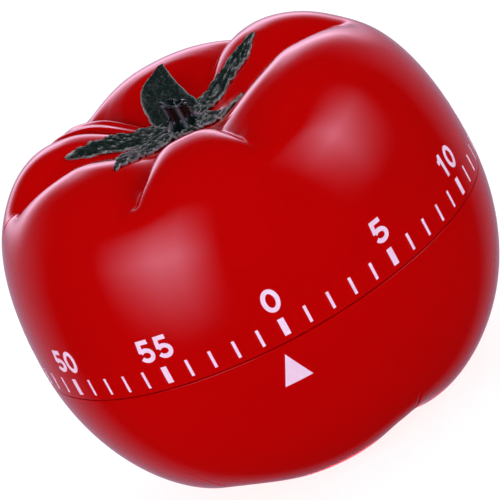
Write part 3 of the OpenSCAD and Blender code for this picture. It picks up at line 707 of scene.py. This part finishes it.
# each digit is a list of strokes, drawn about its middle and up from its foot, in mm
digits = {
    "0": [arc(0, middle_y, half_w, high_y - middle_y, 0, 360)],
    "1": [[(0.25, 0), (0.25, number_h)], arc(-0.75, 3.5, 0.95, 0.9, 270, 350)],
    "2": [arc(0, 2.38, half_w, high_y - 2.38, 170, -25)
          + [(-0.5, 0.98), (-0.92, low_y), (1.05, low_y)]],
    "3": [arc(0, 2.5, 0.85, high_y - 2.5, 155, -90),
          arc(0, 1.09, half_w, 1.09 - low_y, 90, -155)],
    "4": [[(0.3, 3.3), (-1.02, 1.25)], [(-1.2, 1.1), (1.2, 1.1)],
          [(0.48, 0), (0.48, number_h)]],
    "5": [[(0.95, high_y), (-0.62, high_y), (-0.8, 1.62)],
          arc(0.02, 1.15, half_w, 1.15 - low_y, 145, -155)],
}


def pen_stroke(shape, points, lift):
    """One flat stroke of the pen, as wide as the pen all along, with square ends."""
    sharpest = 0.5                    # keeps a sharp corner from growing a spike
    closed = math.dist(points[0], points[-1]) < 0.01
    p = np.array(points[:-1] if closed else points)
    fine = []
    for a, b in zip(p, np.roll(p, -1, 0) if closed else p[1:]):
        steps = max(1, round(np.linalg.norm(b - a) / pen_step))
        fine += [a + (b - a) * k / steps for k in range(steps)]
    p = np.array(fine if closed else fine + [p[-1]])
    before, after = np.roll(p, 1, 0), np.roll(p, -1, 0)
    if not closed:
        before[0], after[-1] = 2 * p[0] - p[1], 2 * p[-1] - p[-2]
    one, two = p - before, after - p
    one /= np.linalg.norm(one, axis=1)[:, None]
    two /= np.linalg.norm(two, axis=1)[:, None]
    way = one + two
    way /= np.linalg.norm(way, axis=1)[:, None]
    reach = pen_w / 2 / np.maximum(sharpest, (way * one).sum(1))
    side = np.stack([-way[:, 1], way[:, 0]], 1) * reach[:, None]
    rings = []
    for middle, s in zip(p, side):
        corners = [(middle + s, lift + ink_t), (middle - s, lift + ink_t),
                   (middle - s, -ink_t), (middle + s, -ink_t)]
        rings.append([shape.verts.new((*flat, out)) for flat, out in corners])
    for a, b in zip(rings, rings[1:] + rings[:1] if closed else rings[1:]):
        for k in range(4):
            shape.faces.new((a[k], a[(k + 1) % 4], b[(k + 1) % 4], b[k]))
    if not closed:
        shape.faces.new(rings[0])
        shape.faces.new(rings[-1][::-1])


marks = grow("flat_marks", mark_row(), bpy.data.meshes.new("empty"), {
    "Length": mark_h, "Width": mark_w, "Fifth width": five_w, "Pitch": along_case(6),
    "Height up": mark_z, "Thickness": 2 * ink_t, "Start": along_case(zero_azimuth)})
wrap = wrap_round_case()
up_the_flank = {"Case radius": case_r, "End radius": crest_r, "Belt height": belt_z,
                "Reach": crest_z - belt_z, "Height power": 1 / flank_rise,
                "Radius power": flank_round / 2, "Ink": ink}
minute_marks = close_up(grow("minute_marks", wrap, marks.data, up_the_flank), 30)
bpy.data.objects.remove(marks)
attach(minute_marks, "dial")


def as_mesh(shape, name):
    """A mesh made from a working shape, which is then let go."""
    mesh = bpy.data.meshes.new(name)
    shape.to_mesh(mesh)
    shape.free()
    return mesh


plate = bmesh.new()
for five in range(12):
    text = str(5 * five)
    middle = along_case(zero_azimuth + 30 * five)
    for k, digit in enumerate(text):
        shift = Vector((middle + (k - (len(text) - 1) / 2) * number_gap, number_z, 0))
        for lift, stroke in enumerate(digits[digit]):
            first = len(plate.verts)
            pen_stroke(plate, stroke, pen_lift * lift)
            plate.verts.ensure_lookup_table()
            bmesh.ops.translate(plate, verts=plate.verts[first:], vec=shift)
minute_numbers = close_up(
    grow("minute_numbers", wrap, as_mesh(plate, "number_plate"), up_the_flank), 30)
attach(minute_numbers, "dial")

pointer_tip_z = 25.4
pointer_foot_z = 20.7
pointer_w = 4.5
flag = bmesh.new()
steps = 12
rings = []
for k in range(steps + 1):
    share = max(k / steps, 0.01)      # of the full width: the tip is all but a point
    z = pointer_tip_z + (pointer_foot_z - pointer_tip_z) * k / steps
    xs = along_case(pointer_azimuth) + pointer_w / 2 * share * np.linspace(-1, 1, 7)
    ring = [flag.verts.new((x, 2 * belt_z - z, ink_t)) for x in xs]
    rings.append(ring + [flag.verts.new((x, 2 * belt_z - z, -ink_t)) for x in xs[::-1]])
for a, b in zip(rings, rings[1:]):
    for k in range(len(a)):
        flag.faces.new((a[k], a[(k + 1) % len(a)], b[(k + 1) % len(a)], b[k]))
flag.faces.new(rings[0][::-1])
flag.faces.new(rings[-1])
# it is bent on above the belt with the belly's shape, then mirrored down to its place
pointer = grow("pointer", wrap, as_mesh(flag, "pointer_plate"), {
    **up_the_flank, "End radius": base_r, "Reach": belt_z, "Height power": 1 / belly_rise,
    "Radius power": belly_round / 2})
for vertex in pointer.data.vertices:
    vertex.co.z = 2 * belt_z * mm - vertex.co.z
close_up(pointer, 30)
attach(pointer, "base")


# ---- Calyx and stalk ---------------------------------------------------------------------
# The green cap of the fruit is one soft, leathery plastic moulding: five wrinkled leaves and
# a short one that hides the foot, round a fluted stalk. Its plug is pressed into the well
# over the dial screw.
calyx_green, shader, place = finish("leathery_green", {"IOR": 1.45, "Specular IOR Level": 0.35})
bent = place.node("ShaderNodeVectorMath", {"operation": "ADD"}, {
    0: place,
    1: place.node("ShaderNodeTexNoise", {}, {"Vector": place, "Scale": 0.7}, out="Color")})
cells = place.node("ShaderNodeTexVoronoi", {"feature": "DISTANCE_TO_EDGE"}, {
    "Vector": bent, "Scale": 0.9})
fine_cells = place.node("ShaderNodeTexVoronoi", {"feature": "DISTANCE_TO_EDGE"}, {
    "Vector": bent, "Scale": 2.4})
vein = 1 - place.math("MINIMUM", cells * 8.0, 1.0)
crackle = 1 - place.math("MINIMUM", fine_cells * 6.0, 1.0)
crest = place.node("ShaderNodeAttribute", {"attribute_name": "crest"}, out="Fac")
painted_crest_sheen = crest ** 2.5 * (0.4 + 1.2 * grain(place, 0.9))   # the tops of the wrinkles and the rolled edges are painted paler, in patches, as a painted highlight
vein_and_painted_sheen = place.math("MINIMUM", painted_crest_sheen + vein * crackle * 0.1, 1.0)
# the leaf runs from dark green to pale grey by this share: mostly painted highlight on wrinkle
# tops and edges, plus a faint paler vein net
mixed(vein_and_painted_sheen, (0.002, 0.0125, 0.0085, 1), (0.42, 0.46, 0.46, 1)).feeds(shader, "Base Color")
(0.34 + 0.2 * grain(place, 1.5)).feeds(shader, "Roughness")
raised(vein * 0.25 + crackle * 0.3 + grain(place, 1.1, 3.0), 0.25 * mm).feeds(shader, "Normal")

rib_n = 6
rib_turn = 1.31                       # turns the stalk's ribs so that one faces the pointer
stalk_black, shader, place = finish("glossy_stalk", {"IOR": 1.5})
place_x, place_y = place.axes()[:2]
around = place.math("ARCTAN2", place_y, place_x)
painted_glint_band = place.math("ABSOLUTE", place.math("COSINE", around * (rib_n / 2) + rib_turn))
# pale bluish streaks are painted in patches down the middle of the ribs, as painted highlights
mixed(painted_glint_band ** 14.0 * place.math("GREATER_THAN", grain(place, 1.1), 0.38) * 0.7,
      (0.0012, 0.0045, 0.0038, 1), (0.10, 0.125, 0.15, 1)).feeds(shader, "Base Color")
(0.2 + 0.1 * grain(place, 1.5)).feeds(shader, "Roughness")
raised(grain(place, 1.4), 0.05 * mm).feeds(shader, "Normal")

leaf_t = 0.4
hub_r = 0.8
shares = (0, 0.25, 0.5, 0.75, 0.92, 1)   # of a leaf's length, where its width is given
# each leaf: azimuth, tip radius, how far its two edges lie off its middle at each share, how
# far its tip rises off the hollow, and the share of its length where it starts to rise
leaves = [
    (36, 17.9, (3.0, 4.3, 3.7, 1.7, 0.5, 0), (-2.0, -0.6, -0.4, -2.1, -0.9, 0), 0.0, 0.0),
    (89, 11.3, (2.5, 4.2, 5.3, 5.2, 3.3, 0), (-2.5, -3.2, -2.5, -0.9, -0.3, 0), 4.6, 0.42),
    (176, 18.2, (2.0, 1.2, 0.2, 0.4, 0.3, 0), (-3.0, -5.6, -5.0, -1.8, -0.6, 0), 0.0, 0.0),
    (236, 19.0, (1.5, -0.7, -0.5, 0.5, 0.35, 0), (-3.0, -6.5, -4.8, -2.2, -0.8, 0), 0.0, 0.0),
    (283, 4.9, (2.6, 3.2, 2.9, 2.0, 1.0, 0), (-2.6, -3.2, -2.9, -2.0, -1.0, 0), 0.0, 0.0),
    (318, 13.6, (2.0, 2.4, 1.7, 0.7, 0.3, 0), (-2.0, -1.9, -1.2, -0.6, -0.25, 0), 0.0, 0.3),
]


def lobe_dip(azimuth):
    """Share of the crease depth at an azimuth in degrees, as the wall has it in the hollow."""
    for i, (start, share, sunk) in enumerate(top_lobes):
        end, next_share = top_lobes[(i + 1) % len(top_lobes)][:2]
        x = 2 * ((azimuth - start) % 360) / ((end - start) % 360) - 1
        if x < 1:
            y = math.sqrt(((1 - abs(x)) ** 2 + crease_soft ** 2) / (1 + crease_soft ** 2))
            edge = max(0, 1 - y)
            crease = (share if x < 0 else next_share) * (
                1 - (1 - edge ** crease_foot) ** crease_fall)
            return sunk * (1 - x * x) ** 2 + crease


def ground(x, y, creased=1.0):
    """Height of the hollow's surface at a place, in mm."""
    r = math.hypot(x, y)
    t = min(hollow_end, max(0, (crest_r - r) / (crest_r - eye_r)))
    press = top_depth * hollow(t)[2] * lobe_dip(math.degrees(math.atan2(y, x)))
    return hollow(t)[1] - creased * press


def ridged(x, y, z):
    """Noise with narrow crests, from -1 to 1."""
    narrowness = 5.5
    return max(-1.0, 1 - narrowness * abs(noise.noise(Vector((x, y, z)))))


def edge_at(t, edge):
    """How far a leaf's edge lies off its middle, with the corners at the shares rounded."""
    return sum(np.interp(t + step, shares, edge) for step in (-0.05, 0, 0.05)) / 3


def leaf_surface(azimuth, tip, left, right_side, rise, rise_from):
    """One leaf as a fine sheet, crumpled along its length and laid over the hollow."""
    sheet = bmesh.new()
    crest = sheet.verts.layers.float.new("crest")
    along_n, across_n = 96, 36
    jag_w, jag_n = 0.35, 14           # size and number of the small jags along an edge
    rim_from, rim_h = 0.86, 0.15      # the edges are rolled up a little
    a = math.radians(azimuth)
    ahead, beside = Vector((math.cos(a), math.sin(a))), Vector((-math.sin(a), math.cos(a)))
    # a leaf that stands up is smoother and bends up from its foot; the others lie in the creases
    upright = rise > 2
    long_way, wide_way = (0.45, 0.5) if upright else (0.45, 1.15)
    # an upright leaf also gets less painted highlight on its folds
    fold_h, fold_sheen_paint, bend = (0.12, 0.4, 0.9) if upright else (0.34, 1.0, 2)
    rows = []
    for i in range(along_n + 1):
        t = i / along_n
        r = hub_r + (tip - hub_r) * t
        edges = [edge_at(t, edge) for edge in (left, right_side)]
        jags = [jag_w * (1 - t) * noise.noise(Vector((t * jag_n, azimuth, side)))
                for side in (2.3, 5.7)]
        row = []
        for j in range(across_n + 1):
            v = j / across_n
            off = (edges[0] + jags[0]) * (1 - v) + (edges[1] + jags[1]) * v + 0.03 * (0.5 - v)
            flat = ahead * r + beside * off
            fold = 0.6 * ridged(r * long_way + azimuth, off * wide_way, 0.3)
            fold += 0.4 * ridged(r * long_way * 2.3 + azimuth, off * wide_way * 2.1, 4.3)
            z = ground(*flat, creased=0 if upright else 1)
            z += 0.8 * leaf_t + rise * max(0, (t - rise_from) / (1 - rise_from)) ** bend
            z += fold_h * fold * min(1, 5 * t) * (1 - 0.5 * t)
            rim = smooth((abs(2 * v - 1) - rim_from) / (1 - rim_from))
            z += rim_h * rim * (1 - t)
            spot = sheet.verts.new((flat.x * mm, flat.y * mm, z * mm))
            # crest is the share of painted highlight: the tops of the folds and the rolled edges
            # are painted paler
            spot[crest] = max(0.0, fold_sheen_paint * fold, 0.75 * rim)
            row.append(spot)
        rows.append(row)
    for low, high in zip(rows, rows[1:]):
        for k in range(across_n):
            sheet.faces.new((low[k], low[k + 1], high[k + 1], high[k]))
    return sheet


cap = bmesh.new()
for facts in leaves:
    sheet = leaf_surface(*facts)
    bmesh.ops.recalc_face_normals(sheet, faces=sheet.faces)
    cap.from_mesh(as_mesh(sheet, "leaf"))
calyx_leaves = put_in("calyx_leaves", as_mesh(cap, "calyx_leaves"))
thick = calyx_leaves.modifiers.new("thickness", "SOLIDIFY")
thick.thickness = leaf_t * mm
thick.offset = 0
settle(calyx_leaves, thick)
calyx_leaves.data.materials.append(calyx_green)
close_up(calyx_leaves, 60)
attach(calyx_leaves, "dial")

stalk_r = 2.05
stalk_h = 4.3
stalk_slant = 0.4                     # the cut top is higher on the left than on the right
stalk_lean = 0.2
groove_depth = 0.3                    # share of the stalk's radius
foot_z = hollow_z + 1.0
stalk_top_z = hollow_z + stalk_h
plug_r = well_r - 0.1
plug_z = hollow_z - 1.1


def groove_at(a):
    """The grooves between the stalk's rounded ribs: 1 in the middle of one and 0 on a rib."""
    return 1 - abs(math.cos(rib_n / 2 * a + rib_turn)) ** 0.6


def fluting(a, z):
    """Makes the stalk narrower in its grooves, which fade into the foot."""
    up = min(1, max(0, z - foot_z))
    return 1 - groove_depth * up * groove_at(a)


# plug and foot, ribbed side, rounded rim and hollowed cut end
stalk_outline = [(0, plug_z), (well_r - 0.35, plug_z), (plug_r, hollow_z - 0.8),
                 (plug_r, hollow_z + 0.1), (stalk_r + 1.1, foot_z - 0.5),
                 (stalk_r + 0.45, foot_z), (stalk_r + 0.15, foot_z + 0.5)]
stalk_outline += [(stalk_r - 0.1 * t, foot_z + 0.7 + (stalk_h - 2.2) * t)
                  for t in np.linspace(0, 1, 8)]
stalk_outline += [(stalk_r - 0.1 + 0.12 * math.sin(t), stalk_top_z - 0.25 - 0.25 * math.cos(t))
                  for t in np.linspace(0.8, math.pi, 6)]
stalk_outline += [(stalk_r - 0.4, stalk_top_z - 0.05), (stalk_r - 0.75, stalk_top_z - 0.45),
                  (stalk_r - 1.4, stalk_top_z - 0.6), (0, stalk_top_z - 0.5)]
stub = bmesh.new()
turn_into(stub, stalk_outline, sides=120, scallop=fluting)
for point in stub.verts:
    above = max(0, point.co.z - foot_z * mm) / ((stalk_h - 1.0) * mm)
    groove = groove_at(math.atan2(point.co.y, point.co.x))
    notch = 0.5 * mm * groove * max(0, above - 0.7) / 0.3
    point.co.z -= stalk_slant * point.co.x * above + notch
    point.co.x -= stalk_lean * mm * above
calyx_stalk = put_in("calyx_stalk", as_mesh(stub, "calyx_stalk"))
calyx_stalk.data.materials.append(stalk_black)
close_up(calyx_stalk, 40)
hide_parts("calyx")
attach(calyx_stalk, "dial")


# ---- Floor, lights and air ---------------------------------------------------------------
# A pale floor in studio light. Soft boxes left and right make the two highlights, and a low
# one behind makes the pale rims. Wide lamps that don't show in the gloss fill in between, and
# the air is pale low down behind the timer and dark in front of it.
bpy.context.scene.view_settings.view_transform = "Standard"
floor_side = 6.0
floor_mesh = bpy.data.meshes.new("floor")
half = floor_side / 2
floor_mesh.from_pydata([(-half, -half, 0), (half, -half, 0), (half, half, 0), (-half, half, 0)],
                       [], [(0, 1, 2, 3)])
floor = put_in("floor", floor_mesh)
pale, shader, place = finish("pale_floor", {
    "Roughness": 1.0, "Specular IOR Level": 0.0, "Emission Color": (1, 1, 1, 1),
    "Emission Strength": 0.88})
mixed(grain(place, 0.002), (0.17, 0.17, 0.17, 1), (0.2, 0.2, 0.2, 1)).feeds(shader, "Base Color")
floor_mesh.materials.append(pale)
floor.visible_glossy = False
floor.visible_diffuse = False


def soft_box(name, azimuth, elevation, width, height, glow, left_edge, right_edge):
    """A glowing panel that faces the timer, with its size in degrees as seen from there.

    Its light fades to its edges, and the larger an edge's number, the faster.
    """
    away = 0.6
    foot_edge, head_edge = 2.1, 1.9
    fall = 1.7                        # power of the fading
    a, e = math.radians(azimuth), math.radians(elevation)
    toward = Vector((math.cos(a) * math.cos(e), math.sin(a) * math.cos(e), math.sin(e)))
    panel = bpy.data.meshes.new(name)
    half_x = math.tan(math.radians(width / 2)) * away
    half_y = math.tan(math.radians(height / 2)) * away
    facing = (-toward).to_track_quat("-Z", "Y").to_matrix()
    centre = toward * away
    corners = [facing @ Vector((x * half_x, y * half_y, 0)) + centre + Vector((0, 0, ring_z))
               for x, y in ((-1, -1), (1, -1), (1, 1), (-1, 1))]
    panel.from_pydata(corners, [], [(0, 1, 2, 3)])
    uv = panel.uv_layers.new(name="panel")
    uv.data.foreach_set("uv", [0, 0, 1, 0, 1, 1, 0, 1])
    made = put_in(name, panel)
    glowing = bpy.data.materials.new(name)
    glowing.use_nodes = True
    tree = glowing.node_tree
    tree.nodes.clear()
    across, up_panel = Wire(tree).node("ShaderNodeUVMap", {"uv_map": "panel"}).axes()[:2]
    fade = across.math("MINIMUM", across * left_edge, 1.0)
    for ramp in ((1 - across) * right_edge, up_panel * foot_edge, (1 - up_panel) * head_edge):
        fade = fade * across.math("MINIMUM", ramp, 1.0)
    fade = across.math("MAXIMUM", fade, 0.0) ** fall
    light = fade.node("ShaderNodeEmission", {}, {
        "Strength": fade * glow, "Color": (1.3, 0.92, 1.25, 1)})
    clear = light.node("ShaderNodeBsdfTransparent")
    light.node("ShaderNodeAddShader", {}, {0: light, 1: clear}).feeds(
        tree.nodes.new("ShaderNodeOutputMaterial"), "Surface")
    panel.materials.append(glowing)
    made.visible_camera = False


soft_box("left_soft_box", azimuth=-131.5, elevation=21.5, width=65, height=72, glow=3.2,
         left_edge=2.0, right_edge=3.0)
soft_box("right_soft_box", azimuth=-14, elevation=29.5, width=62, height=64, glow=3.4,
         left_edge=2.3, right_edge=1.9)
soft_box("rear_soft_box", azimuth=98, elevation=13, width=84, height=36, glow=1.8,
         left_edge=3.0, right_edge=3.0)


def fill_light(name, direction, width, power, away=1.2):
    """A wide lamp that lights the timer without showing in its gloss."""
    lamp = bpy.data.lights.new(name, "AREA")
    lamp.size = width
    lamp.energy = power
    lamp.cycles.use_multiple_importance_sampling = False
    made = put_in(name, lamp)
    toward = Vector(direction).normalized()
    made.location = toward * away + Vector((0, 0, ring_z))
    made.rotation_mode = "QUATERNION"
    made.rotation_quaternion = (-toward).to_track_quat("-Z", "Y")
    made.visible_glossy = False


fill_light("front_fill", (0.0, -1.0, 0.45), width=1.6, power=7.5)
fill_light("left_fill", (-0.9, -0.45, 0.2), width=1.2, power=6)
fill_light("right_fill", (0.95, -0.25, 0.25), width=1.2, power=5.5)
fill_light("top_fill", (0.1, 0.3, 1.0), width=1.6, power=11)
fill_light("back_fill", (0.0, 1.0, 0.15), width=1.6, power=7)
# this one lies just over the floor and faces up, in place of light sent back by the floor
fill_light("floor_glow", (0, 0, -1), width=1.0, power=2.8, away=ring_z - 0.5 * mm)

world = bpy.data.worlds.new("room")
bpy.context.scene.world = world
world.use_nodes = True
tree = world.node_tree
air = tree.nodes["Background"]
aim_x, aim_y, aim_z = Wire(tree).node("ShaderNodeTexCoord", out="Generated").axes()
pale_turn, pale_from = 0.15, 0.45     # the pale air is behind, turned a little to the left
pale_top, pale_fade = 1.5, 2.6        # and fades out upwards
behind = aim_y.math("MAXIMUM", aim_y - pale_turn * aim_x - pale_from, 0.0)
low = aim_z.math("MINIMUM", aim_z.math("MAXIMUM", pale_top - aim_z * pale_fade, 0.0), 1.0)
mixed(behind * low, (0.012, 0.012, 0.012, 1), (0.75, 0.68, 0.95, 1)).feeds(air, "Color")
